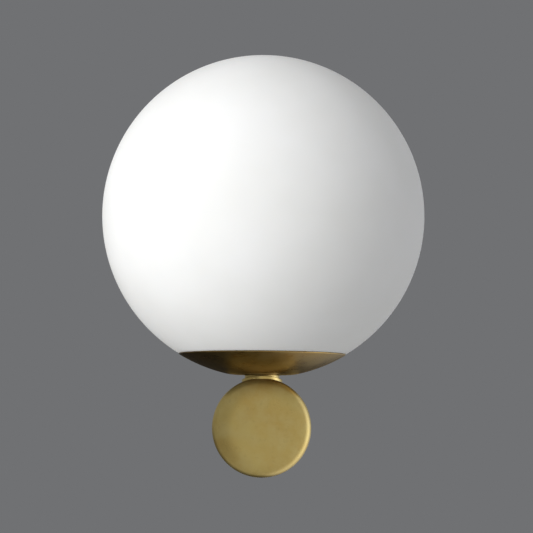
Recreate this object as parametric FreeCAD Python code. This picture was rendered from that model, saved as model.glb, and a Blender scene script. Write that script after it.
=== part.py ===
import FreeCAD, Part
import math
import os

# Globe wall sconce, in millimetres. +Z is up, +X is to the right of someone facing the wall, and
# the wall is the plane y = 0 with the light in front of it, at negative y. The origin is the middle
# of the wall plate's back face. Depths are counted out from the wall, and heights along +Z.

# Opal glass globe
globe_d = 250.0
glass_t = 3.0
stem_depth = 140.0
globe_height = 164.0
glass_edge_drop = 106.8

# Brass dish that the globe stands in: it carries on the globe's own sphere
dish_proud = 0.5
dish_t = 1.0
dish_rim_drop = 107.4
dish_flat_drop = 123.2
dish_blend_r = 40.0

# Brass drum below the dish: its front is a crown, a rounder shoulder and a small round at the edge
drum_d = 76.0
drum_t = 46.0
drum_wall = 3.0
drum_crown_r = 230.0
drum_crown_reach = 22.0
drum_shoulder_r = 45.0
drum_edge_round = 7.0
drum_inner_round = 6.0
drum_face_t = 5.0
drum_back_round = 1.2
drum_back_t = 3.0
pillar_d = 9.4
pillar_circle_r = 30.5
pillar_angles = (30.0, 150.0, 270.0)

# Short brass neck between the drum and the dish, on a saddle flange that hugs the drum
neck_d = 27.0
neck_flange_d = 31.4
neck_flange_t = 2.2
neck_round = 0.5

# Horizontal arm from the canopy to the drum
arm_d = 22.0
arm_wall = 1.5
arm_bush_length = 6.0
rod_d = 10.0
rod_bore_d = 7.0
rod_hole_d = 10.2
nut_af = 14.0
nut_t = 5.0
washer_t = 1.5
drum_washer_d = 24.0
saddle_d = 17.8
saddle_t = 3.0

# Wall canopy and the plate behind it
canopy_d = 76.0
canopy_depth = 24.0
canopy_wall = 1.5
canopy_round = 4.5
canopy_lift = 0.5
backing_t = 2.0
backing_d = 50.0
plate_d = 69.0
plate_t = 1.5
plate_rim_depth = 12.0
plate_rim_t = 1.2
slot_spacing = 50.0
slot_w = 4.5
slot_length = 10.0
cable_hole_d = 14.0
cable_bore_d = 9.0
bush_flange_t = 2.0
side_screw_angles = (30.0, 150.0, 270.0)
side_screw_depth = 7.0
side_screw_d = 4.0
side_boss_d = 8.0

# Small screws of 3 mm thread: the earth screw and those of the drum's back
small_screw_d = 3.0
small_tap_d = 3.04

# Terminal block inside the canopy
block_x = 28.0
block_z = 15.0
block_y = 17.0
block_top = -13.0
block_pitch = 8.0
block_ways = (-block_pitch, 0.0, block_pitch)
screw_rows = (-3.5, 3.5)
barrel_d = 5.0
barrel_bore_d = 3.0
barrel_cover = 4.0
clamp_screw_d = 2.5
wire_d = 2.0
wire_spread = 1.4
wire_bend_r = 2.2

# Earth screw and tag on the backing disc
earth_height = 18.0
earth_tag_t = 1.0
earth_tag_left = -16.0

# Parts on the stem inside the dish
carrier_t = 1.2
carrier_flat_r = 18.5
carrier_cone_r = 48.0
carrier_flange_r = 60.2
carrier_flange_drop = 108.8
gasket_t = 0.8
gasket_in_r = 56.8
gasket_out_r = 61.9
clip_t = 0.5
clip_w = 10.0
clip_angles = (90.0, 210.0, 330.0)
rivet_r = 51.0
rivet_offsets = (-2.8, 2.8)
stem_washer_d = 30.0

# Lampholder and bulb, for a 27 mm screw cap
holder_d = 39.0
holder_wall = 2.0
holder_cup_h = 21.5
holder_h = 56.0
holder_collar_h = 8.0
core_d = 30.6
core_h = 16.0
core_lift = 14.0
core_way_x = 8.0
shell_in_d = 27.2
shell_t = 0.5
shell_h = 25.0
cap_d = 26.4
cap_h = 24.0
cap_gap = 2.0
cap_groove = 1.1
bulb_d = 60.0
bulb_l = 107.0
bulb_neck_d = 30.0
housing_h = 34.0
housing_wall = 2.0
dome_wall = 1.2
board_d = 49.0
board_t = 1.2

# Worked out from the above
globe_r = globe_d / 2
dish_out_r = globe_r + dish_proud
dish_in_r = dish_out_r - dish_t
dish_bottom = globe_height - dish_flat_drop
dish_floor = dish_bottom + dish_t
drum_r = drum_d / 2
drum_back = stem_depth - drum_t / 2
drum_front = stem_depth + drum_t / 2
drum_in_r = drum_r - drum_wall
drum_in_face = drum_front - drum_face_t
drum_ledge = drum_back + drum_back_t
canopy_r = canopy_d / 2
canopy_in_depth = canopy_depth - canopy_wall
backing_face = canopy_in_depth - backing_t
rear_nut = backing_face - nut_t
block_back = backing_face - block_y
block_middle = block_top - block_z / 2
barrel_depth = block_back + barrel_cover
flange_top = globe_height - carrier_flange_drop + carrier_t
stem_nut = dish_floor + carrier_t + washer_t
holder_base = stem_nut + nut_t
core_base = holder_base + core_lift
contact_face = core_base + core_h
cap_base = contact_face + cap_gap
slant = math.sin(math.pi / 4)

PARTS = {}
ORIGIN = FreeCAD.Vector(0, 0, 0)
UP = FreeCAD.Vector(0, 0, 1)
RIGHT = FreeCAD.Vector(1, 0, 0)
ALONG_Y = FreeCAD.Vector(0, 1, 0)


# ---- placing and drawing -------------------------------------------------------------------

def at_wall(shape):
    """Turns a shape drawn with its axis along +Z, so that its height becomes depth from the wall."""
    shape.rotate(ORIGIN, RIGHT, 90)
    return shape


def on_stem(shape):
    """Moves a shape drawn round the Z axis onto the upright axis of the globe and the neck."""
    shape.translate(FreeCAD.Vector(0, -stem_depth, 0))
    return shape


def turned(start, *steps):
    """A solid of revolution round Z. A step of two numbers is a line to that radius and height,
    and a step of four is an arc through the first pair to the second."""
    edges = []
    here = FreeCAD.Vector(start[0], 0, start[1])
    for step in steps + (start,):
        there = FreeCAD.Vector(step[-2], 0, step[-1])
        if len(step) == 4:
            middle = FreeCAD.Vector(step[0], 0, step[1])
            edges.append(Part.Arc(here, middle, there).toShape())
        elif here.distanceToPoint(there) > 1e-6:
            edges.append(Part.LineSegment(here, there).toShape())
        here = there
    return Part.Face(Part.Wire(edges)).revolve(ORIGIN, UP, 360)


def cylinder(diameter, low, high, x=0.0, y=0.0):
    return Part.makeCylinder(diameter / 2, high - low, FreeCAD.Vector(x, y, low))


def ring(outer_d, inner_d, low, high):
    return cylinder(outer_d, low, high).cut(cylinder(inner_d, low, high))


def box(x, y, z, width, height, length):
    """A box from its lowest corner, with its sizes along x, y and z."""
    return Part.makeBox(width, height, length, FreeCAD.Vector(x, y, z))


def prism(outline, width):
    """An outline of radius and height, as wide as given across the radius."""
    corners = [FreeCAD.Vector(r, -width / 2, h) for r, h in outline]
    return Part.Face(Part.makePolygon(corners + corners[:1])).extrude(ALONG_Y * width)


def hex_nut(low, bore_d=rod_hole_d, across=nut_af, thick=nut_t):
    """A hexagon nut round Z with both faces' corners turned off."""
    corner_r = across / math.sqrt(3)
    corners = []
    for i in range(7):
        angle = math.radians(60 * i)
        corners.append(FreeCAD.Vector(corner_r * math.cos(angle), corner_r * math.sin(angle), low))
    body = Part.Face(Part.makePolygon(corners)).extrude(UP * thick)
    trim = 0.6
    past = corner_r + 0.1
    blank = turned((0, low), (across / 2, low), (past, low + trim), (past, low + thick - trim),
                   (across / 2, low + thick), (0, low + thick))
    return body.common(blank).cut(cylinder(bore_d, low, low + thick))


def around(shape, angles):
    """Copies of a shape turned about Z, as one group of separate solids."""
    copies = []
    for angle in angles:
        copy = shape.copy()
        copy.rotate(ORIGIN, UP, angle)
        copies.append(copy)
    return Part.makeCompound(copies)


def arc_point(centre_r, centre_z, radius, angle):
    """Radius and height of a point on an arc, for an angle in degrees from straight up to outward."""
    return (centre_r + radius * math.sin(math.radians(angle)),
            centre_z + radius * math.cos(math.radians(angle)))


def sphere_point(radius, drop):
    """Radius from the stem and height of a sphere's point that lies drop below the globe's centre."""
    return (math.sqrt(radius ** 2 - drop ** 2), globe_height - drop)


def sphere_at(radius, angle):
    """The same for an angle in degrees, counted up from straight below the globe's centre."""
    return arc_point(0, globe_height, radius, 180 - angle)


def angle_of(radius, drop):
    return math.degrees(math.acos(drop / radius))


def bent_wire(points, bend_r=wire_bend_r, diameter=wire_d):
    """A round wire along straight runs that are joined by tangent arcs."""
    points = [FreeCAD.Vector(*p) for p in points]
    edges = []
    here = points[0]
    for before, corner, after in zip(points, points[1:], points[2:]):
        into = (corner - before).normalize()
        out = (after - corner).normalize()
        turn = into.getAngle(out)
        reach = bend_r * math.tan(turn / 2)
        start = corner - into * reach
        end = corner + out * reach
        inward = (out - into).normalize()
        middle = corner + inward * (bend_r / math.cos(turn / 2) - bend_r)
        edges.append(Part.LineSegment(here, start).toShape())
        edges.append(Part.Arc(start, middle, end).toShape())
        here = end
    edges.append(Part.LineSegment(here, points[-1]).toShape())
    path = Part.Wire(edges)
    direction = (points[1] - points[0]).normalize()
    section = Part.Wire([Part.makeCircle(diameter / 2, points[0], direction)])
    return path.makePipeShell([section], True, False)


# ---- wall plate and canopy -----------------------------------------------------------------

def wall_plate():
    """Pressed steel plate on the wall, with its edge turned forward and two slots for screws."""
    r = plate_d / 2
    bend = 2.0
    plate = turned((0, 0), (r - bend, 0), arc_point(r - bend, bend, bend, 135) + (r, bend),
                   (r, plate_rim_depth), (r - plate_rim_t, plate_rim_depth),
                   (r - plate_rim_t, plate_t), (0, plate_t))
    straight = slot_length - slot_w
    for side in (-1, 1):
        middle = side * slot_spacing / 2
        for end in (-straight / 2, straight / 2):
            plate = plate.cut(cylinder(slot_w, 0, plate_t, middle + end))
        plate = plate.cut(box(middle - straight / 2, -slot_w / 2, 0, straight, slot_w, plate_t))
    return at_wall(plate.cut(cylinder(cable_hole_d, 0, plate_t)))


def cable_bush():
    """Nylon bush that lines the cable hole of the wall plate, with a bevelled flange."""
    hole_r = cable_hole_d / 2
    bore_r = cable_bore_d / 2
    flange_r = hole_r + 2.0
    bevel = 0.8
    top = plate_t + bush_flange_t
    return at_wall(turned((bore_r, 0), (hole_r, 0), (hole_r, plate_t), (flange_r, plate_t),
                          (flange_r, top - bevel), (flange_r - bevel, top),
                          (bore_r + bevel, top), (bore_r, top - bevel)))


def side_screw_hole(diameter, low_r, high_r):
    """A cylinder along +X at the depth of the canopy's side screws."""
    start = FreeCAD.Vector(low_r, 0, side_screw_depth)
    return Part.makeCylinder(diameter / 2, high_r - low_r, start, RIGHT)


def canopy():
    """Spun brass cup against the wall, with three threaded bosses for its side screws."""
    inner = canopy_r - canopy_wall
    inner_round = canopy_round - canopy_wall
    outer_r = canopy_r - canopy_round
    outer_z = canopy_depth - canopy_round
    inner_r = inner - inner_round
    inner_z = canopy_in_depth - inner_round
    cup = turned((inner, canopy_lift), (canopy_r, canopy_lift), (canopy_r, outer_z),
                 arc_point(outer_r, outer_z, canopy_round, 45) + (outer_r, canopy_depth),
                 (rod_hole_d / 2, canopy_depth), (rod_hole_d / 2, canopy_in_depth),
                 (inner_r, canopy_in_depth),
                 arc_point(inner_r, inner_z, inner_round, 45) + (inner, inner_z))
    clear_of_plate = 0.8
    into_wall = 0.5
    thread_clearance = 0.04
    boss = side_screw_hole(side_boss_d, plate_d / 2 + clear_of_plate, canopy_r - into_wall)
    for angle in side_screw_angles:
        cup = cup.fuse(around(boss, [angle]).Solids[0])
    hole = side_screw_hole(side_screw_d + thread_clearance, 0, canopy_d)
    for angle in side_screw_angles:
        cup = cup.cut(around(hole, [angle]).Solids[0])
    return at_wall(cup.removeSplitter())


def canopy_screws():
    """Three round-headed screws through the canopy's side, which bear on the wall plate's rim."""
    gap = 0.1
    head_d = 7.0
    head_t = 2.0
    head_round = 0.8
    slot_size = 0.9
    head_r = canopy_r + gap
    shank = side_screw_hole(side_screw_d, plate_d / 2 + gap, head_r)
    head = side_screw_hole(head_d, head_r, head_r + head_t)
    rim = [e for e in head.Edges if e.Closed and e.CenterOfMass.x > head_r + head_t / 2]
    head = head.makeFillet(head_round, rim)
    slot = box(head_r + head_t - slot_size, -head_d, side_screw_depth - slot_size / 2,
               head_t, 2 * head_d, slot_size)
    return at_wall(around(shank.fuse(head).cut(slot).removeSplitter(), side_screw_angles))


def canopy_backing():
    """Steel disc inside the canopy that spreads the arm's load over the brass."""
    disc = ring(backing_d, rod_hole_d, backing_face, canopy_in_depth)
    return at_wall(disc.cut(cylinder(small_tap_d, backing_face, canopy_in_depth, 0, earth_height)))


# ---- terminal block and earth --------------------------------------------------------------

def terminal_block():
    """Three-way plastic block with wire ways from top to bottom and screw wells facing the wall."""
    block_round = 1.2
    well_d = 3.4
    block = box(-block_x / 2, block_top - block_z, block_back, block_x, block_z, block_y)
    uprights = [e for e in block.Edges if abs(e.tangentAt(e.FirstParameter).z) > 0.9]
    block = block.makeFillet(block_round, uprights)
    for x in block_ways:
        foot = FreeCAD.Vector(x, block_top - block_z, barrel_depth)
        block = block.cut(Part.makeCylinder(barrel_d / 2, block_z, foot, ALONG_Y))
        for row in screw_rows:
            block = block.cut(cylinder(well_d, block_back, barrel_depth, x, block_middle + row))
    return at_wall(block)


def terminal_barrels():
    """Brass clamping tubes in the block, each tapped for two screws."""
    inset = 1.0
    tap_d = clamp_screw_d + 0.04
    length = block_z - 2 * inset
    barrels = []
    for x in block_ways:
        foot = FreeCAD.Vector(x, block_top - block_z + inset, barrel_depth)
        barrel = Part.makeCylinder(barrel_d / 2, length, foot, ALONG_Y)
        barrel = barrel.cut(Part.makeCylinder(barrel_bore_d / 2, length, foot, ALONG_Y))
        for row in screw_rows:
            tap = cylinder(tap_d, block_back, barrel_depth, x, block_middle + row)
            barrel = barrel.cut(tap)
        barrels.append(barrel)
    return at_wall(Part.makeCompound(barrels))


def terminal_screws():
    """Six small slotted screws in the block's wells."""
    sunk = 1.5
    slot_wide = 0.5
    slot_deep = 0.6
    top = block_back + sunk
    end = barrel_depth - wire_d / 2 - 0.05
    screws = []
    for x in block_ways:
        for row in screw_rows:
            y = block_middle + row
            screw = cylinder(clamp_screw_d, top, end, x, y)
            slot = box(x - clamp_screw_d, y - slot_wide / 2, top, 2 * clamp_screw_d, slot_wide, slot_deep)
            screws.append(screw.cut(slot))
    return at_wall(Part.makeCompound(screws))


def earth_screw():
    """Pan-headed screw that holds the earth tag to the backing disc and the canopy."""
    head_d = 6.0
    head_t = 2.0
    slot_size = 0.9
    seat = backing_face - earth_tag_t
    screw = cylinder(head_d, seat - head_t, seat, 0, earth_height)
    screw = screw.fuse(cylinder(small_screw_d, seat, canopy_in_depth, 0, earth_height))
    slot = box(-head_d, earth_height - slot_size / 2, seat - head_t, 2 * head_d, slot_size, slot_size)
    return at_wall(screw.cut(slot))


def earth_tag():
    """Ring tag crimped on the earth wire."""
    eye_d = 8.0
    tongue_left = -12.0
    tongue_w = 3.6
    barrel_r = 2.0
    barrel_length = 5.0
    barrel_bore_depth = 3.0
    low = backing_face - earth_tag_t
    tag = cylinder(eye_d, low, backing_face, 0, earth_height)
    tongue = box(tongue_left, earth_height - tongue_w / 2, low, -tongue_left - small_screw_d,
                 tongue_w, earth_tag_t)
    start = FreeCAD.Vector(earth_tag_left, earth_height, backing_face - barrel_r)
    tag = tag.fuse([tongue, Part.makeCylinder(barrel_r, barrel_length, start, RIGHT)])
    tag = tag.cut(cylinder(small_screw_d + 0.1, low, backing_face, 0, earth_height))
    bore = Part.makeCylinder(wire_d / 2 + 0.05, barrel_bore_depth, start, RIGHT)
    return at_wall(tag.cut(bore))


# ---- arm -----------------------------------------------------------------------------------

def arm_tube():
    """Brass sleeve that shows between the canopy and the drum."""
    return at_wall(ring(arm_d, arm_d - 2 * arm_wall, canopy_depth, drum_back))


def arm_rod():
    """Hollow threaded rod that clamps canopy, sleeve and drum together."""
    past_nut = 1.5
    front = drum_ledge + washer_t + nut_t + past_nut
    return at_wall(ring(rod_d, rod_bore_d, rear_nut - past_nut, front))


def arm_bushes():
    """Two plastic rings that keep the rod in the middle of the sleeve."""
    outer_d = arm_d - 2 * arm_wall
    near = ring(outer_d, rod_hole_d, canopy_depth, canopy_depth + arm_bush_length)
    far = ring(outer_d, rod_hole_d, drum_back - arm_bush_length, drum_back)
    return at_wall(Part.makeCompound([near, far]))


def arm_nuts():
    """Nuts at the two ends of the rod, one in the canopy and one in the drum."""
    return at_wall(Part.makeCompound([hex_nut(rear_nut), hex_nut(drum_ledge + washer_t)]))


def drum_washer():
    return at_wall(ring(drum_washer_d, rod_hole_d, drum_ledge, drum_ledge + washer_t))


# ---- drum and neck -------------------------------------------------------------------------

def drum_blank(grow=0.0):
    """The drum's outer shape as one solid, with its round surfaces grown outward by an amount."""
    inner_sine = drum_crown_reach / drum_crown_r
    shoulder_reach = drum_r - drum_edge_round - drum_crown_reach
    outer_sine = shoulder_reach + drum_shoulder_r * inner_sine
    outer_sine /= drum_shoulder_r - drum_edge_round
    inner_tilt = math.degrees(math.asin(inner_sine))
    outer_tilt = math.degrees(math.asin(outer_sine))
    crown = (0, drum_front - drum_crown_r)
    shoulder = arc_point(crown[0], crown[1], drum_crown_r - drum_shoulder_r, inner_tilt)
    edge = arc_point(shoulder[0], shoulder[1], drum_shoulder_r - drum_edge_round, outer_tilt)

    def on_crown(tilt):
        return arc_point(crown[0], crown[1], drum_crown_r + grow, tilt)

    def on_shoulder(tilt):
        return arc_point(shoulder[0], shoulder[1], drum_shoulder_r + grow, tilt)

    def on_edge(tilt):
        return arc_point(edge[0], edge[1], drum_edge_round + grow, tilt)

    side_r = drum_r + grow
    back_r = side_r - drum_back_round
    back_z = drum_back + drum_back_round
    return turned((0, drum_back), (back_r, drum_back),
                  arc_point(back_r, back_z, drum_back_round, 135) + (side_r, back_z),
                  on_edge(90),
                  on_edge((90 + outer_tilt) / 2) + on_edge(outer_tilt),
                  on_shoulder((outer_tilt + inner_tilt) / 2) + on_shoulder(inner_tilt),
                  on_crown(inner_tilt / 2) + on_crown(0))


def drum_body():
    """Turned brass drum, open at the back, with three pillars inside."""
    corner = drum_inner_round
    corner_r = drum_in_r - corner
    corner_z = drum_in_face - corner
    cavity = turned((0, drum_back), (drum_in_r, drum_back), (drum_in_r, corner_z),
                    arc_point(corner_r, corner_z, corner, 45) + (corner_r, drum_in_face),
                    (0, drum_in_face))
    cup = drum_blank().cut(cavity)
    tapping_depth = 12.0
    pillar = cylinder(pillar_d, drum_ledge, drum_in_face, pillar_circle_r)
    tapping = cylinder(small_tap_d, drum_ledge, drum_ledge + tapping_depth, pillar_circle_r)
    for angle in pillar_angles:
        cup = cup.fuse(around(pillar, [angle]).Solids[0])
    for angle in pillar_angles:
        cup = cup.cut(around(tapping, [angle]).Solids[0])
    cup = at_wall(cup.removeSplitter())
    return cup.cut(on_stem(cylinder(rod_hole_d, 0, drum_d)))


def drum_back_plate():
    """Brass plate that closes the drum and carries it on the arm."""
    edge_gap = 0.1
    sink_r = 2.9
    sink_depth = 1.5
    hole_r = 1.6
    plate = cylinder(2 * (drum_in_r - edge_gap), drum_back, drum_ledge)
    plate = plate.cut(cylinder(rod_hole_d, drum_back, drum_ledge))
    sink = turned((0, drum_back), (sink_r, drum_back), (hole_r, drum_back + sink_depth),
                  (hole_r, drum_ledge), (0, drum_ledge))
    sink.translate(RIGHT * pillar_circle_r)
    for angle in pillar_angles:
        plate = plate.cut(around(sink, [angle]).Solids[0])
    return at_wall(plate)


def drum_back_screws():
    """Three countersunk screws that hold the back plate to the drum's pillars."""
    head_r = 2.8
    head_t = 1.5
    shank_r = small_screw_d / 2
    length = 11.5
    point = 0.5
    slot_size = 0.8
    low = drum_back
    screw = turned((0, low), (head_r, low), (shank_r, low + head_t), (shank_r, low + length - point),
                   (shank_r - point, low + length), (0, low + length))
    screw = screw.cut(box(-head_r, -slot_size / 2, low, 2 * head_r, slot_size, slot_size))
    screw.translate(RIGHT * pillar_circle_r)
    return at_wall(around(screw, pillar_angles))


def rims_flange(edge):
    """Whether an edge runs round the neck's flange, along its top."""
    near = 0.02
    lowest = drum_r - 2 * neck_flange_t
    for part in (0.0, 0.25, 0.5, 0.75, 1.0):
        at = edge.FirstParameter + (edge.LastParameter - edge.FirstParameter) * part
        point = edge.valueAt(at)
        reach = math.hypot(point.x, point.y + stem_depth)
        if abs(reach - neck_flange_d / 2) > near or point.z < lowest:
            return False
    return True


def neck_collar():
    """Brass collar that carries the dish: a short tube on a flange that fits the drum's curve."""
    past_surface = 8.0
    low = drum_r - past_surface
    top_r = neck_d / 2 - neck_round
    top_z = dish_bottom - neck_round
    tube = turned((0, low), (neck_d / 2, low), (neck_d / 2, top_z),
                  arc_point(top_r, top_z, neck_round, 45) + (top_r, dish_bottom),
                  (0, dish_bottom))
    flange = at_wall(drum_blank(neck_flange_t))
    flange = flange.common(on_stem(cylinder(neck_flange_d, low, dish_bottom)))
    flange = flange.makeFillet(neck_round, [e for e in flange.Edges if rims_flange(e)])
    collar = flange.fuse(on_stem(tube)).removeSplitter()
    collar = collar.cut(on_stem(cylinder(rod_hole_d, low, dish_bottom)))
    return collar.cut(at_wall(drum_blank()))


def neck_rod():
    """Upright hollow threaded rod from the drum to the lampholder."""
    past_nut = 3.0
    low = drum_in_r - saddle_t - nut_t - past_nut
    return on_stem(ring(rod_d, rod_bore_d, low, holder_base + holder_collar_h))


def neck_saddle():
    """Steel washer inside the drum, curved on top to the drum's wall and flat below for the nut."""
    blank = on_stem(ring(saddle_d, rod_hole_d, drum_in_r - saddle_t, drum_in_r + 1.0))
    return blank.common(at_wall(cylinder(2 * drum_in_r, drum_back, drum_front)))


def neck_nuts():
    """Nuts on the upright rod, one below the saddle washer and one inside the dish."""
    lower = hex_nut(drum_in_r - saddle_t - nut_t)
    return on_stem(Part.makeCompound([lower, hex_nut(stem_nut)]))


# ---- dish, carrier and globe ---------------------------------------------------------------

def dish():
    """Spun brass dish: a shallow bowl with a flat seat for the neck and a rounded rim."""
    rim = angle_of(globe_r, dish_rim_drop)
    out_flat = sphere_point(dish_out_r, dish_flat_drop)
    in_flat = sphere_point(dish_in_r, dish_flat_drop - dish_t)
    out_foot = angle_of(dish_out_r, dish_flat_drop)
    in_foot = angle_of(dish_in_r, dish_flat_drop - dish_t)
    middle_r = (dish_out_r + dish_in_r) / 2
    rim_top = rim + math.degrees(dish_t / 2 / middle_r)
    bowl = turned((rod_hole_d / 2, dish_bottom), out_flat,
                  sphere_at(dish_out_r, (out_foot + rim) / 2) + sphere_at(dish_out_r, rim),
                  sphere_at(middle_r, rim_top) + sphere_at(dish_in_r, rim),
                  sphere_at(dish_in_r, (in_foot + rim) / 2) + in_flat,
                  (rod_hole_d / 2, dish_floor))
    for flat, radius in ((out_flat, dish_blend_r), (in_flat, dish_blend_r - dish_t)):
        rings = [e for e in bowl.Edges if hasattr(e.Curve, "Radius")]
        bend = [e for e in rings if abs(e.Curve.Radius - flat[0]) < 0.05]
        bowl = bowl.makeFillet(radius, bend)
    return on_stem(bowl)


def globe_carrier():
    """Pressed steel pan inside the dish, whose flange carries the glass."""
    flange = flange_top - carrier_t
    top = dish_floor + carrier_t
    hole = rod_hole_d / 2
    thin = 0.6
    return on_stem(turned((hole, dish_floor), (carrier_flat_r, dish_floor), (carrier_cone_r, flange),
                          (carrier_flange_r, flange), (carrier_flange_r, flange_top),
                          (carrier_cone_r - thin, flange_top), (carrier_flat_r - thin, top),
                          (hole, top)))


def globe_gasket():
    """Silicone ring between the carrier's flange and the ground edge of the glass."""
    return on_stem(ring(2 * gasket_out_r, 2 * gasket_in_r, flange_top, flange_top + gasket_t))


def globe_clips():
    """Three leaf springs on the carrier that centre and grip the mouth of the globe."""
    z = flange_top
    foot_r = 48.5
    bend_r = 54.9
    belly = (58.5, z + 3.4)
    tip = (54.2, z + 11.0)
    lip = (53.0, z + 11.4)
    outline = [(foot_r, z), (bend_r + 0.3, z), belly, tip, lip,
               (lip[0] - 0.2, lip[1] - 0.9), (tip[0] - 0.4, tip[1] - 0.4),
               (belly[0] - 0.7, belly[1] + 0.1), (bend_r, z + clip_t), (foot_r, z + clip_t)]
    return on_stem(around(prism(outline, clip_w), clip_angles))


def clip_rivets():
    """Two rivets to a clip, with bevelled heads."""
    z = flange_top + clip_t
    head_r = 1.5
    flat_r = 0.9
    head_t = 0.8
    side_t = 0.3
    group = []
    for y in rivet_offsets:
        head = turned((0, z), (head_r, z), (head_r, z + side_t), (flat_r, z + head_t), (0, z + head_t))
        head.translate(FreeCAD.Vector(rivet_r, y, 0))
        group += around(head, clip_angles).Solids
    return on_stem(Part.makeCompound(group))


def stem_washer():
    low = dish_floor + carrier_t
    return on_stem(ring(stem_washer_d, rod_hole_d, low, low + washer_t))


def globe():
    """Opal glass sphere, cut off level below and ground flat where it stands on its gasket."""
    inner_r = globe_r - glass_t
    out_edge = sphere_point(globe_r, glass_edge_drop)
    in_edge = sphere_point(inner_r, glass_edge_drop)
    out_mid = (angle_of(globe_r, glass_edge_drop) + 180) / 2
    in_mid = (angle_of(inner_r, glass_edge_drop) + 180) / 2
    return on_stem(turned(out_edge,
                          sphere_at(globe_r, out_mid) + (0, globe_height + globe_r),
                          (0, globe_height + inner_r),
                          sphere_at(inner_r, in_mid) + in_edge))


# ---- lampholder ----------------------------------------------------------------------------

def holder_cup():
    """Lower half of the lampholder, screwed onto the upright rod."""
    r = holder_d / 2
    low = holder_base
    high = low + holder_cup_h
    hole = rod_hole_d / 2
    base_r = 12.0
    floor_t = 2.5
    collar_r = hole + 2.0
    return on_stem(turned((hole, low), (base_r, low), (r - 1.3, low + 3.0, r, low + 8.0), (r, high),
                          (r - holder_wall, high), (r - holder_wall, low + 8.5),
                          (r - holder_wall - 1.2, low + 5.0, base_r - 0.5, low + floor_t),
                          (collar_r, low + floor_t), (collar_r, low + holder_collar_h),
                          (hole, low + holder_collar_h)))


def holder_skirt():
    """Upper half of the lampholder, which shrouds the bulb's cap."""
    r = holder_d / 2
    wall = 4.0
    edge = 1.0
    low = holder_base + holder_cup_h
    high = holder_base + holder_h
    return on_stem(turned((r - wall, low), (r, low), (r, high - edge),
                          arc_point(r - edge, high - edge, edge, 45) + (r - edge, high),
                          (r - wall + edge, high), (r - wall, high - edge)))


def holder_core():
    """Ceramic insert that carries the contacts, with a way for each wire."""
    way_d = 3.0
    way_depth = 6.0
    split = holder_base + holder_cup_h
    wide = holder_d - 2 * holder_wall
    core = cylinder(wide, core_base, split).fuse(cylinder(core_d, split, contact_face))
    core = core.removeSplitter()
    for x in (-core_way_x, core_way_x):
        core = core.cut(cylinder(way_d, core_base, core_base + way_depth, x))
    return on_stem(core)


def holder_thread():
    """Thin threaded shell that takes the bulb's cap."""
    return on_stem(ring(shell_in_d + 2 * shell_t, shell_in_d, contact_face, contact_face + shell_h))


def holder_contact():
    """Bent bronze tongue that presses on the bulb's tip."""
    t = 0.4
    width = 6.0
    foot = -9.0
    bend = -3.5
    tip = 2.5
    rise = 1.3
    z = contact_face
    outline = [(foot, z), (bend, z), (tip, z + rise), (tip, z + rise + t), (bend - 0.2, z + t),
               (foot, z + t)]
    return on_stem(prism(outline, width))


# ---- bulb ----------------------------------------------------------------------------------

def bulb_cap():
    """Rolled screw cap with rounded threads."""
    r = cap_d / 2
    root = r - cap_groove
    crests = 5
    pitch = 3.6
    wall = 0.5
    flank_r = root + 0.2
    flank = 0.12
    low = cap_base + 2.5
    top = cap_base + cap_h
    steps = []
    z = low
    for _ in range(crests):
        steps.append((flank_r, z + pitch * flank))
        steps.append((r, z + pitch / 2, flank_r, z + pitch * (1 - flank)))
        z += pitch
    steps += [(root, z), (root, top), (root - wall, top), (root - wall, low)]
    return on_stem(turned((root, low), *steps))


def bulb_insulator():
    """Dark glass end of the cap."""
    r = cap_d / 2 - cap_groove - 0.5
    low = cap_base + 0.6
    end_r = 4.5
    shoulder = low + 2.6
    top = low + 5.5
    return on_stem(turned((0, low), (end_r, low), (r, shoulder), (r, top), (0, top)))


def bulb_tip():
    """Solder button at the end of the cap."""
    top = cap_base + 0.6
    return on_stem(turned((0, cap_base), (3.2, cap_base + 0.25), (4.0, top), (0, top)))


def bulb_housing():
    """White housing of the bulb, flared from the cap to the dome."""
    low = cap_base + cap_h
    high = low + housing_h
    waist = low + 18.0
    floor_t = 1.6
    mouth = cap_d / 2 - cap_groove
    neck = bulb_neck_d / 2
    wide = bulb_d / 2 - 1.0
    bulge = 4.5
    return on_stem(turned((mouth, low), (neck - 1.0, low), (neck, low + 1.0),
                          (neck + bulge, waist, wide, high), (wide - housing_wall, high),
                          (neck + bulge - 1.9, waist, neck - housing_wall, low + floor_t),
                          (mouth, low + floor_t)))


def bulb_board():
    """Aluminium disc with the light sources, clamped in the mouth of the housing."""
    low = cap_base + cap_h + housing_h - 3.0
    top = low + board_t
    board = cylinder(board_d, low, top)
    chips = 8
    chip_circle_r = 15.0
    chip = 3.0
    chip_t = 0.8
    for i in range(chips):
        angle = 2 * math.pi * i / chips
        x = chip_circle_r * math.cos(angle)
        y = chip_circle_r * math.sin(angle)
        board = board.fuse(box(x - chip / 2, y - chip / 2, top, chip, chip, chip_t))
    return on_stem(board.removeSplitter())


def bulb_dome():
    """Frosted dome of the bulb."""
    low = cap_base + cap_h + housing_h
    top = cap_base + bulb_l
    r = bulb_d / 2
    inner = r - dome_wall
    widest = top - r
    foot_r = math.sqrt(r ** 2 - (widest - low) ** 2)
    inner_foot_r = math.sqrt(inner ** 2 - (widest - low) ** 2)
    return on_stem(turned((foot_r, low), (r * slant, widest + r * slant, 0, top), (0, top - dome_wall),
                          (inner * slant, widest + inner * slant, inner_foot_r, low)))


# ---- wires ---------------------------------------------------------------------------------

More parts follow.
